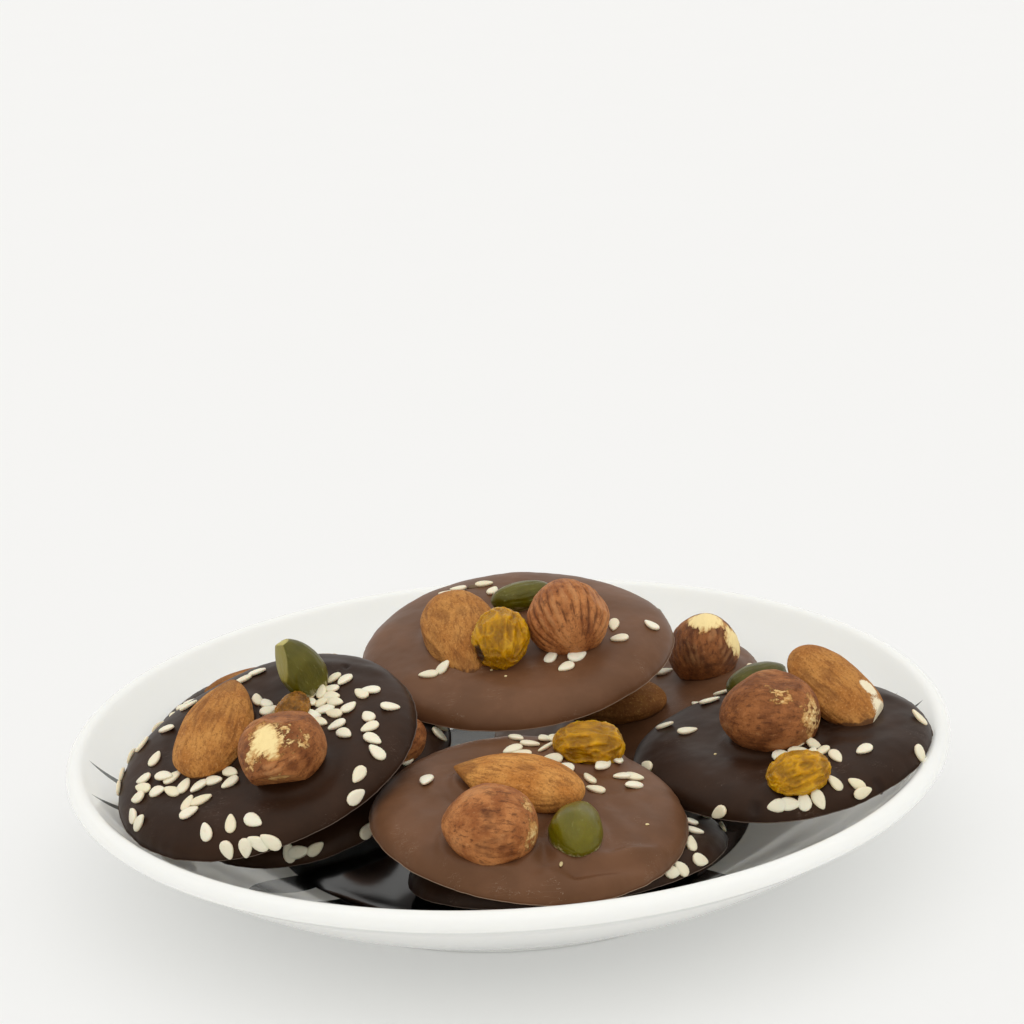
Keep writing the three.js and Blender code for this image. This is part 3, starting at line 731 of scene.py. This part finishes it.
# %% The chocolate's finish
def chocolate(kind, deep, pale, dusty, shine):
    """Even brown with faint clouds, scratched and dusty, a painted highlight on its foot, painted
    shade in its bubbles.
    """
    finish = material_nodes(f"{kind}_chocolate")
    spot = finish.place()
    clouds = finish.noise(spot, 11, 4, 0.6)
    grain = finish.noise(spot, 0.8, 3, 0.6)
    handled = finish.noise(spot, 6, 2)
    dust = finish.noise(spot, 0.45, 2, 0.7)
    specks = dust.fades(0.7, 0.76) * handled.fades(0.5, 0.62)
    scratch_spot = finish.node(
        "ShaderNodeMapping", {}, Vector=spot, Rotation=(0.3, 0.2, 0.7), Scale=(0.22, 2, 1))
    scratches = finish.noise(scratch_spot, 1.3, 3, 0.6)
    lines = scratches.fades(0.492, 0.5) * scratches.fades(0.508, 0.5) * handled.fades(0.56, 0.66)
    marks = specks + lines * 0.8
    colour = finish.coated(
        finish.mix(clouds.fades(0.35, 0.7), tint(deep), tint(pale)),
        # A painted highlight along the sharp foot, in the dust tint.
        (finish.attribute("edge_highlight") * 0.5, dusty),
        # Painted shade in the hollows of burst bubbles.
        (finish.attribute("bubble_shade") * 0.6, "1c0f0b"),
        (marks * 0.5, dusty))
    height = clouds * 0.5 + grain * 0.1
    return finish.surface(
        Base_Color=colour, Roughness=0.36 + clouds * 0.12 + marks * 0.1,
        Specular_IOR_Level=shine, Specular_Tint=(1.0, 0.86, 0.75),
        Normal=finish.bump(height, 0.35, 0.5))


CHOCOLATE = {
    "dark": chocolate("dark", "28170d", "331f13", "8d7c70", 0.19),
    "milk": chocolate("milk", "62412a", "704c34", "b39c86", 0.25),
}
for name, disc in DISCS.items():
    chocolate_disc(name, disc, CHOCOLATE[disc["chocolate"]])

# %% [markdown]
# ## Sesame seeds
# A hulled sesame seed is a flat teardrop, nearly 4 mm long, with a fine rim round it. On the
# real discs they were strewn by hand, so some lie alone and some in heaps, one over the other.
# Particles could scatter them, but a table of places keeps the heaps where they fell, and real
# mesh is what survives the export. With so many of them, each one has few faces.

# %% Sesame seeds
SESAME = {"length": 3.8, "width": 2.28, "height": 0.8, "sunk": 0.12, "taper": 0.3}
# A seed nearer than this to an earlier one lies on it, and is lifted so much.
HEAPED = 1.7
HEAP_LIFT = 0.4
# How a seed leans: with the slope round it, and a little by luck.
FEEL = 0.8
STEEPER = 1.7
LOOSE = 0.12


def sow(bm, name, x, y, turn, lift, layers):
    """Adds one seed that lies on the slope of the chocolate at its place."""
    slope_x = (skin_height(name, x + FEEL, y) - skin_height(name, x - FEEL, y)) / (2 * FEEL)
    slope_y = (skin_height(name, x, y + FEEL) - skin_height(name, x, y - FEEL)) / (2 * FEEL)
    luck = noise.cell(Vector((x, y, turn)) * 3.7)
    other_luck = noise.cell(Vector((y, turn, x)) * 5.3)
    lean_x = LOOSE * luck - STEEPER * slope_x
    lean_y = LOOSE * other_luck - STEEPER * slope_y
    up = Vector((lean_x, lean_y, 1)).normalized()
    tilt = Vector((0, 0, 1)).rotation_difference(up).to_matrix().to_4x4()
    length = SESAME["length"] * (1 + 0.1 * luck)
    width = SESAME["width"] * (1 + 0.12 * other_luck)
    above = SESAME["height"] / 2 - SESAME["sunk"] + lift
    middle = Vector((x, y, skin_height(name, x, y))) + up * above
    place = disc_place(DISCS[name]) @ Matrix.Translation(middle) @ tilt
    place = place @ Matrix.Rotation(math.radians(turn), 4, "Z")
    for vert in bmesh.ops.create_uvsphere(bm, u_segments=12, v_segments=8, radius=1)["verts"]:
        side, flat, along = vert.co
        wide = 1 - SESAME["taper"] * along - 0.1 * along * along
        vert[layers["rim"]] = max(0, 1 - abs(flat) * 3.2)
        vert[layers["tone"]] = 0.5 + 0.5 * other_luck
        flat = math.copysign(abs(flat) ** 0.5, flat)
        vert.co = place @ Vector((
            along * length / 2,
            side * wide * width / 2,
            flat * wide ** 0.4 * SESAME["height"] / 2,
        ))


def sesame():
    """A cream hull, browner at its rim."""
    finish = material_nodes("sesame_hull")
    spot = finish.place()
    mottle = finish.noise(spot, 0.7, 3)
    colour = finish.coated(
        finish.mix(finish.attribute("tone"), tint("eee2c2"), tint("f6efda")),
        (finish.attribute("rim") * 0.4, "cfae77"),
        (mottle.fades(0.55, 0.8) * 0.3, "dcc89c"))
    return finish.surface(
        Base_Color=colour, Roughness=0.45, Specular_IOR_Level=0.35, Subsurface_Weight=0.12,
        Subsurface_Scale=0.0012, Normal=finish.bump(mottle, 0.08, 0.5))


def make_seeds():
    bm = bmesh.new()
    layers = {key: bm.verts.layers.float.new(key) for key in ("rim", "tone")}
    total = 0
    for name, disc in DISCS.items():
        sown = []
        for x, y, turn in disc["seeds"]:
            below = sum(math.hypot(x - a, y - b) < HEAPED for a, b in sown)
            sow(bm, name, x, y, turn, HEAP_LIFT * min(2, below), layers)
            sown.append((x, y))
        total += len(sown)
    print("seeds sown:", total)
    return finish_piece("sesame_seeds", bm, sesame(), list(DISCS))


make_seeds()

# %% [markdown]
# ## Nuts, pistachios and raisins
# Each topping starts as a ball with its axis along X and is pushed into form: an almond is a
# flat drop, a hazelnut a round one with a point, a pistachio a bent bean, and a raisin a
# wrinkled bag. The finer relief, such as the ribs of a hazelnut, is drawn on the ball before
# it is turned into place, so it follows the nut and not the room. The same goes for colour:
# each point keeps its place on the ball in an attribute that the material reads. Where a nut
# is broken or a kernel has a flat face, its points are pressed onto a plane.

# %% Relief of each kind
def almond_relief(x, around, ball, form):
    """Long shallow wrinkles that run from the base to the tip."""
    wander = noise.noise(ball * 1.6)
    lines = 0.6 * math.sin(14 * around + wander * 5) + 0.4 * math.sin(27 * around + wander * 11)
    tip = max(0, x - 0.45) ** 2 * form["tip"]
    return 0.018 * lines * (1 - x * x) + 0.04 * noise.noise(ball * 2.1) - tip


def hazelnut_relief(x, around, ball, form):
    """Ribs that fan out from the blunt base, and a rough top."""
    wander = noise.noise(ball * 1.8) + 0.25 * noise.noise(ball * 5)
    fan = abs(math.sin(form["count"] * around + wander * form["wander"])) ** 0.7 - 0.6
    ribs = form["ribs"] * fan * (1 - x * x) * (1.1 - 0.6 * x)
    return ribs + 0.045 * noise.noise(ball * 1.7) + 0.012 * noise.noise(ball * 6)


def raisin_relief(x, around, ball, form):
    """Soft hollows with thin crests of skin between them, mostly along the fruit."""
    spot = Vector((ball.x * 0.8, ball.y * 1.9, ball.z * 1.9))
    spot += 0.25 * noise.noise_vector(ball * 2.5)
    crests = 1 - min(1, abs(noise.noise(spot * 1.3)) * 3.2)
    fine = 1 - min(1, abs(noise.noise(spot * 3)) * 3)
    lumps = noise.noise(ball * 1.6 + Vector((7, 3, 1)))
    return 0.1 * crests + 0.045 * fine + 0.12 * lumps - 0.09


def pistachio_relief(x, around, ball, form):
    """A smooth kernel with soft keels and a few long lines."""
    keels = abs(math.cos(1.5 * around + 0.4)) - 0.6
    lines = math.sin(17 * around + 3 * noise.noise(ball * 2)) * (1 - x * x)
    return 0.05 * keels + 0.008 * lines + 0.03 * noise.noise(ball * 2.2) + form["fat"]


RELIEF = {
    "almond": almond_relief, "hazelnut": hazelnut_relief,
    "raisin": raisin_relief, "pistachio": pistachio_relief,
}
# Faces round the topping and along it.
FINENESS = {"almond": (120, 72), "hazelnut": (128, 84), "raisin": (120, 84), "pistachio": (88, 56)}
print("faces on a hazelnut:", math.prod(FINENESS["hazelnut"]))

# %% [markdown]
# No two toppings are alike, so the ones that show get notes of their own. A face is a plane
# that the topping is pressed onto, and a bare place is where the skin has come off, or where
# a raisin has the scar of its stem. Both are given by the way they look out into the room.

# %% Notes on single toppings
# deep: how dark it is, from 0 to 1. barrel: how full it is towards its ends.
# faces: way, share of the half depth that is left, 1 where the cut shows pale flesh.
# bare: way, and the cosine of the angle round it that is bare.
PLAIN = {"deep": 0.3, "barrel": 0, "faces": [], "bare": []}
# taper, point, tip, ribs, count, wander and fat stand in for those of the kind: an almond's tip
# is how thin it ends, a hazelnut has a count of ribs that wander, a pistachio is fat or lean.
FORMS = {
    "dark_left_almond": {"tip": 0.2, "deep": 0.3},
    "dark_left_hazelnut": {
        "barrel": 0.45, "point": 0, "deep": 0.45, "ribs": 0.035,
        "faces": [((0, 0.15, 1), 0.82, 0), ((0, -0.6, -0.8), 0.78, 0)],
        "bare": [
            ((-0.35, -0.72, 0.6), 0.87), ((0.1, -0.75, 0.66), 0.93), ((-0.62, -0.7, 0.15), 0.97),
            ((0.5, -0.7, 0.45), 0.975), ((-0.1, -0.9, -0.4), 0.985),
        ],
    },
    "dark_left_raisin": {"deep": 0.9},
    "dark_left_pistachio": {
        "deep": 0.7,
        "faces": [
            ((-0.8, -0.5, 0.15), 0.7, 0.45), ((0.45, -0.9, 0.1), 0.78, 0),
            ((-0.45, 0, 0.9), 0.84, 1),
        ],
    },
    "milk_top_almond": {"tip": 0.1, "deep": 0.35},
    "milk_top_hazelnut": {
        "ribs": 0.07, "count": 12, "wander": 1, "deep": 0, "point": 0.3,
        "faces": [((-0.8, -0.1, 0.6), 0.9, 0), ((0.78, -0.1, 0.62), 0.9, 0)],
    },
    "milk_top_pistachio": {"fat": -0.2, "deep": 0.6},
    "milk_top_raisin": {"bare": [((-0.8, -0.5, -0.35), 0.93)], "deep": 0.2},
    "milk_front_almond": {"tip": 0.9, "point": 0.45, "deep": 0},
    "milk_front_hazelnut": {
        "deep": 0.05, "bare": [((0.87, -0.45, -0.1), 0.975), ((0.8, -0.2, 0.5), 0.985)],
    },
    "milk_front_pistachio": {"taper": -0.27, "point": 0.3, "deep": 0.42},
    "milk_front_raisin": {"faces": [((0, -0.1, 1), 0.85, 0)], "deep": 0.25},
    "dark_right_hazelnut": {
        "deep": 0.6, "faces": [((0.1, -0.1, 1), 0.88, 0)],
        "bare": [((0.15, -0.62, 0.78), 0.98), ((0.82, -0.55, 0.1), 0.945)],
    },
    "dark_right_almond": {
        "tip": 0, "taper": 0, "point": 0.03, "barrel": 0.25, "deep": 0.35,
        "faces": [((0.9, -0.42, -0.1), 0.84, 1)],
        "bare": [((0.95, -0.36, 0.2), 0.972), ((0.8, -0.55, -0.25), 0.98)],
    },
    "dark_right_pistachio": {"deep": 0.8},
    "dark_right_raisin": {"deep": 0.2},
    "milk_back_almond": {"deep": 1},
    "dark_back_left_almond": {"deep": 0.7},
    "milk_back_hazelnut": {
        "deep": 0.8, "ribs": 0.03, "count": 14, "wander": 2,
        "bare": [((0.05, -0.1, 1), 0.82), ((0.85, -0.4, 0.3), 0.86)],
    },
    "milk_back_pistachio": {"deep": 0.6},
}
print("toppings with notes of their own:", len(FORMS))

# %% [markdown]
# The notes are now put to use. Each point of the ball is moved to the skin and pressed onto
# the faces, and it takes along what its material has to know. A displace modifier could move
# the points too, but a sum for each point can also write down what it did there.

# %% Making a topping
# Where the skin is gone, where a cut shows flesh, how dark the topping is, how far a point is
# above the chocolate, and how far it swells beyond the plain form.
LAYERS = ("bare", "cut", "deep", "above", "swell")
# The relief adds a little all round, so the form under it is made a little smaller.
SNUG = 0.98
PRESSED = 0.92
CUT_EDGE = 4


def looks_at(way, halves, turn):
    """A way in the room as seen from inside the topping, and how far it reaches that way."""
    inward = turn.inverted() @ Vector(way).normalized()
    reach = Vector((a * b for a, b in zip(inward, halves))).length
    return inward, reach


def shape_point(kind, ball, luck, form):
    """Moves a point of the unit ball, its axis along X, to the topping's skin."""
    front = max(0, ball.x)
    around = math.atan2(ball.z, ball.y)
    girth = 1 - form["taper"] * ball.x - form["point"] * front * front
    girth *= math.sqrt(1 + form["barrel"] * ball.x * ball.x)
    swell = 1 + RELIEF[kind](ball.x, around, ball + luck, form)
    y = ball.y * girth * swell + form["bend"] * ball.x * ball.x
    return Vector((ball.x * (1 + 0.25 * (swell - 1)), y, ball.z * girth * swell)) * SNUG, swell


def press(point, faces):
    """Presses a point onto each face that it lies beyond, and tells how much flesh shows."""
    cut = 0.0
    for way, reach, share, flesh in faces:
        over = point.dot(way) - reach * share
        if over > 0:
            point = point - way * over * PRESSED
            cut = max(cut, flesh * min(1, over * CUT_EDGE))
    return point, cut


def topping_place(topping, disc):
    """Where a topping lies on its disc."""
    _, x, y, turn, rise, height, _ = topping
    place = Matrix.Translation((x, y, dome_height(math.hypot(x, y), disc["radius"]) + height))
    place = place @ Matrix.Rotation(math.radians(turn), 4, "Z")
    return place @ Matrix.Rotation(math.radians(-rise), 4, "Y")


def ball_of_points(kind):
    """A ball with its axis along X, and a layer for each thing that its points will know."""
    bm = bmesh.new()
    spot = bm.verts.layers.float_vector.new("on_nut")
    layers = {key: bm.verts.layers.float.new(key) for key in LAYERS}
    around, along = FINENESS[kind]
    bmesh.ops.create_uvsphere(bm, u_segments=around, v_segments=along, radius=1)
    lying = Matrix.Rotation(math.pi / 2, 3, "Y")
    bmesh.ops.rotate(bm, verts=bm.verts, cent=(0, 0, 0), matrix=lying)
    return bm, spot, layers


def make_topping(name, disc, topping, material):
    kind, scale = topping[0], topping[6]
    node = f"{name}_{kind}"
    form = {**PLAIN, **KINDS[kind], **FORMS.get(node, {})}
    luck = Vector(disc["at"]) * 0.37
    halves = Vector([side * scale / 2 for side in form["size"]])
    on_disc = topping_place(topping, disc)
    place = disc_place(disc) @ on_disc
    turn = place.to_3x3()
    faces = [(*looks_at(way, halves, turn), *rest) for way, *rest in form["faces"]]
    bare = [(looks_at(way, halves, turn)[0], cosine) for way, cosine in form["bare"]]
    bm, spot, layers = ball_of_points(kind)
    for vert in bm.verts:
        ball = vert.co.copy()
        point, swell = shape_point(kind, ball, luck, form)
        point, cut = press(point * halves, faces)
        outward = point.normalized()
        lies = on_disc @ point
        vert[spot] = ball * halves + luck
        vert[layers["swell"]] = swell
        vert[layers["cut"]] = cut
        vert[layers["bare"]] = max([-1] + [outward.dot(way) - cosine for way, cosine in bare])
        vert[layers["deep"]] = form["deep"]
        vert[layers["above"]] = lies.z - dome_height(math.hypot(lies.x, lies.y), disc["radius"])
        vert.co = place @ point
    return finish_piece(f"{node}_skin", bm, material, [node])


# %% [markdown]
# ### Skins
# An almond's skin is a dusty cinnamon brown with fine dark lines along it. A hazelnut's is
# redder, blotched nearly black, and flakes off to show cream flesh with ragged edges. Both
# are dry, so they hardly shine. A pistachio kernel is green with pale dusty ridges, and a
# raisin is amber jelly in a wrinkled bag: light enters it, so it takes subsurface scattering.

# %% Materials of the toppings
def smeared(finish, colour, spot):
    """Chocolate that has crept up the foot of a topping."""
    creep = finish.attribute("above") + (finish.noise(spot, 1.5, 3) - 0.5) * 1.6
    return finish.coated(colour, (creep.fades(0.75, 0.35) * 0.8, "4a2d1c"))


def shaded(finish, share, light, dark):
    """Two tints by share, from the light pair or the dark one as the topping is deep."""
    pairs = [finish.mix(share, tint(first), tint(second)) for first, second in (light, dark)]
    return finish.mix(finish.attribute("deep"), *pairs)


def almond_skin():
    """Cinnamon with dark streaks and dust and painted shade in its dips, cream where it is torn or
    broken.
    """
    finish = material_nodes("almond_skin")
    spot = finish.attribute("on_nut", "Vector")
    streaks = finish.noise(finish.stretched(spot, (0.3, 1, 1)), 0.75, 5, 0.7)
    blotch = finish.noise(spot, 5, 3)
    speckle = finish.noise(spot, 0.42, 3, 0.75)
    colour = finish.coated(
        shaded(finish, blotch.fades(0.3, 0.7), ("bd7a36", "d8994f"), ("7d4c20", "98642f")),
        (streaks.fades(0.46, 0.66) * 0.6, "7d4a20"),
        (speckle.fades(0.52, 0.68) * 0.55, "6a3d1a"),
        (speckle.fades(0.44, 0.32) * 0.45, "dca566"),
        # Painted shade where the skin dips below its plain form.
        (finish.attribute("swell").fades(0.995, 0.975) * 0.4, "6f421d"))
    flesh = finish.mix(finish.noise(spot, 1.2, 3), tint("f0dfb8"), tint("fbf1d6"))
    gone = finish.attribute("bare") * 8 + 0.5
    torn = gone.sum("MAXIMUM", gone, finish.attribute("cut") + (blotch - 0.5) * 0.7)
    torn = (torn + (speckle - 0.5) * 0.5).fades(0.4, 0.55)
    colour = finish.mix(torn, smeared(finish, colour, spot), flesh)
    height = streaks * 0.7 + speckle * 0.3
    return finish.surface(
        Base_Color=colour, Roughness=0.7, Specular_IOR_Level=0.2,
        Normal=finish.bump(height, 0.4, 0.9))


def hazelnut_skin():
    """Red brown with fibres and flecks, painted shade in its grooves and highlight on its ribs,
    cream where it has flaked.
    """
    finish = material_nodes("hazelnut_skin")
    spot = finish.attribute("on_nut", "Vector")
    fibres = finish.noise(finish.stretched(spot, (0.3, 1, 1)), 0.65, 5, 0.7)
    blotch = finish.noise(spot, 3.4, 4, 0.6)
    flecks = finish.noise(spot, 0.35, 3, 0.75)
    relief_shading = finish.attribute("swell") - 1
    colour = finish.coated(
        shaded(finish, blotch.fades(0.32, 0.66), ("9a5a2c", "c38049"), ("4e2812", "94572c")),
        (fibres.fades(0.5, 0.66) * 0.65, "4a2612"),
        (fibres.fades(0.42, 0.3) * 0.5, "cf9560"),
        (flecks.fades(0.54, 0.68) * 0.4, "3d1f0f"),
        # Painted shade in the grooves, and a painted highlight on the ribs.
        (relief_shading.fades(-0.005, -0.05) * 0.75, "5a2f16"),
        (relief_shading.fades(0.01, 0.04) * 0.4, "cf9560"))
    bare = finish.attribute("bare")
    inner = (bare * 7 + (fibres - 0.5) * 2 + (blotch - 0.5)).fades(0, 0.7)
    flesh = finish.mix(inner, tint("c58d4e"), tint("ffe6a6"))
    torn = (bare * 4 + (blotch - 0.5) * 1.5 + (fibres - 0.5) * 0.8).fades(0, 0.08)
    colour = finish.mix(torn, smeared(finish, colour, spot), flesh)
    height = fibres * 0.6 + flecks * 0.3 - torn * 0.6
    return finish.surface(
        Base_Color=colour, Roughness=0.6, Specular_IOR_Level=0.22,
        Normal=finish.bump(height, 0.4, 0.9))


def golden_raisin():
    """Amber jelly with painted shade in its folds and painted highlight on its crests, and the
    dark scar of the stem.
    """
    finish = material_nodes("golden_raisin")
    spot = finish.attribute("on_nut", "Vector")
    depth = finish.noise(spot, 2.6, 4, 0.6)
    fine = finish.noise(finish.stretched(spot, (0.5, 1.2, 1.2)), 0.8, 4, 0.65)
    fold_shading = finish.attribute("swell") - 1
    colour = finish.coated(
        finish.mix(depth.fades(0.3, 0.68), tint("946200"), tint("cf9600")),
        (fine.fades(0.56, 0.75) * 0.4, "e0ac10"),
        # Painted shade in the folds, and a painted highlight on the crests.
        (fold_shading.fades(0.02, -0.1) * 0.5, "774c02"),
        (fold_shading.fades(0.02, 0.09) * 0.45, "dfb030"))
    amber = finish.mix(depth.fades(0.35, 0.6), tint("4e2c08"), tint("95601c"))
    colour = finish.mix(finish.attribute("deep").fades(0.4, 0.9) * 0.9, colour, amber)
    stem = (finish.attribute("bare") * 8 + (fine - 0.5)).fades(0, 0.4)
    colour = finish.coated(colour, (stem, "3a1d0c"))
    height = depth * 0.4 + fine * 0.6
    return finish.surface(
        Base_Color=colour, Roughness=0.28, Specular_IOR_Level=0.35, Specular_Tint=(1.0, 0.88, 0.6),
        Subsurface_Weight=0.5, Subsurface_Scale=0.002, Subsurface_Radius=(1.0, 0.7, 0.1),
        Normal=finish.bump(height, 0.5, 0.9))


def pistachio_kernel():
    """Green with pale lines, paler where it is cut, and dusty at its foot."""
    finish = material_nodes("pistachio_kernel")
    spot = finish.attribute("on_nut", "Vector")
    clouds = finish.noise(spot, 3, 3)
    lines = finish.noise(finish.stretched(spot, (0.25, 1, 1)), 0.6, 4, 0.65)
    dusty = (finish.attribute("above") + (clouds - 0.5) * 3 + (lines - 0.5) * 4).fades(1.6, 0.2)
    colour = finish.coated(
        shaded(finish, clouds.fades(0.2, 0.8), ("6a6200", "7d7200"), ("2b2903", "423e06")),
        (lines.fades(0.58, 0.74) * 0.35, "a3a060"),
        (finish.attribute("cut"), "b5a743"),
        (dusty * 0.8, "c9bd90"))
    height = lines * 0.6 + clouds * 0.3
    return finish.surface(
        Base_Color=colour, Roughness=0.3, Specular_IOR_Level=0.4, Specular_Tint=(1.0, 0.97, 0.7),
        Subsurface_Weight=0.08, Subsurface_Scale=0.001, Normal=finish.bump(height, 0.22, 0.7))


SKINS = {
    "almond": almond_skin(), "hazelnut": hazelnut_skin(),
    "raisin": golden_raisin(), "pistachio": pistachio_kernel(),
}
for name, disc in DISCS.items():
    for topping in disc["toppings"]:
        make_topping(name, disc, topping, SKINS[topping[0]])

# %% [markdown]
# ## Crumbs
# Broken bits of skin and flesh lie where they fell. They are small, but a pile without any
# looks as if nobody had made it.

# %% Crumbs
# Disc, x, y, turn, length, width, height, and the tone from dark flake to pale flesh.
CRUMBS = [
    ("milk_front", 4.3, -21.6, 80, 1.7, 0.6, 0.4, 0.75),
    ("milk_front", 19.3, -8, 20, 0.7, 0.5, 0.3, 0.9),
    ("dark_right", -6.6, -7.5, 175, 2, 0.7, 0.45, 1),
    ("dark_right", -12.6, -7, 30, 0.6, 0.5, 0.25, 0.9),
    ("dark_left", 9.5, 7.4, 150, 2.6, 0.9, 0.4, 0.85),
    ("dark_left", 6.6, 7.6, 60, 1.4, 0.8, 0.4, 0.6),
    ("dark_left", 3, 5.5, 100, 1.5, 1, 0.5, 0.4),
    ("milk_top", -6.5, 20.4, 10, 4, 1.7, 0.5, 0.1),
    ("milk_top", -4.6, -15.6, 70, 0.8, 0.5, 0.3, 0.8),
    ("milk_top", -2, -18.5, 30, 0.6, 0.5, 0.3, 0.85),
]
CRUMB_RISE = 0.2
CRUMB_ROUGHNESS = 0.5


def crumb_skin():
    finish = material_nodes("crumbs")
    colour = finish.mix(finish.attribute("tone"), tint("4a2a18"), tint("f3dfa8"))
    return finish.surface(Base_Color=colour, Roughness=0.6, Specular_IOR_Level=0.25)


def make_crumbs():
    bm = bmesh.new()
    tone_layer = bm.verts.layers.float.new("tone")
    for name, x, y, turn, length, width, height, tone in CRUMBS:
        middle = Vector((x, y, skin_height(name, x, y) + height * CRUMB_RISE))
        place = disc_place(DISCS[name]) @ Matrix.Translation(middle)
        place = place @ Matrix.Rotation(math.radians(turn), 4, "Z")
        for vert in bmesh.ops.create_icosphere(bm, subdivisions=2, radius=0.5)["verts"]:
            rough = 1 + CRUMB_ROUGHNESS * noise.noise(vert.co * 4 + Vector((x, y, 0)))
            vert.co = place @ Vector((
                vert.co.x * length * rough, vert.co.y * width * rough, vert.co.z * height))
            vert[tone_layer] = tone
    return finish_piece("crumbs", bm, crumb_skin(), [])


make_crumbs()

# %% [markdown]
# ## Floor and light
# The photograph is high key: a white sheet, and a bright surround that wraps the pile. A lamp
# over the bowl would leave a pool of light on the sheet, so the soft light is a wide bright
# patch in the surround itself, overhead and a little in front. It is as far away as the sky,
# so the sheet stays even. The sheet is lit from behind too, which is why the shadow under the
# bowl is so pale. It isn't part of the object, so it is stage.

# %% Stage
SURROUND = 0.84
SOFT_LIGHT = 0.52
SOFT_LIGHT_WAY = Vector((0.06, -0.22, 0.97))
SOFT_LIGHT_EDGE = (0.55, 0.97)
SHEET = 0.66
SHEET_GLOW = 0.22
SHEET_FIBRE = 1.01
SHEET_HALF = 8


def make_floor():
    bm = bmesh.new()
    bmesh.ops.create_grid(bm, x_segments=1, y_segments=1, size=SHEET_HALF)
    mesh = bpy.data.meshes.new("floor")
    bm.to_mesh(mesh)
    bm.free()
    paper = material_nodes("white_sheet")
    fibres = paper.noise(paper.place(), 60, 2)
    mesh.materials.append(paper.surface(
        Base_Color=paper.mix(fibres, (SHEET,) * 3, (SHEET * SHEET_FIBRE,) * 3), Roughness=0.7,
        Specular_IOR_Level=0.1, Emission_Color=(1, 1, 1), Emission_Strength=SHEET_GLOW))
    floor = bpy.data.objects.new("floor", mesh)
    bpy.context.scene.collection.objects.link(floor)
    return floor


def make_surround():
    world = bpy.data.worlds.new("bright_room")
    bpy.context.scene.world = world
    room = Finish(world, "Background")
    way = room.node("ShaderNodeTexCoord", {}, out="Generated")
    facing = room.node(
        "ShaderNodeVectorMath", {"operation": "DOT_PRODUCT"},
        way, SOFT_LIGHT_WAY.normalized(), out="Value")
    patch = facing.fades(*SOFT_LIGHT_EDGE)
    room.surface(Color=(1, 0.992, 0.965), Strength=patch * SOFT_LIGHT + SURROUND)
    return world


print("stage:", make_floor().name, "in", make_surround().name)
bpy.context.scene.view_settings.view_transform = "Standard"
bpy.context.scene.view_settings.look = "None"

# %% [markdown]
# ## Closing
# The number of pieces that were made is printed.

# %% Pieces made
print("pieces made:", len(PIECES))
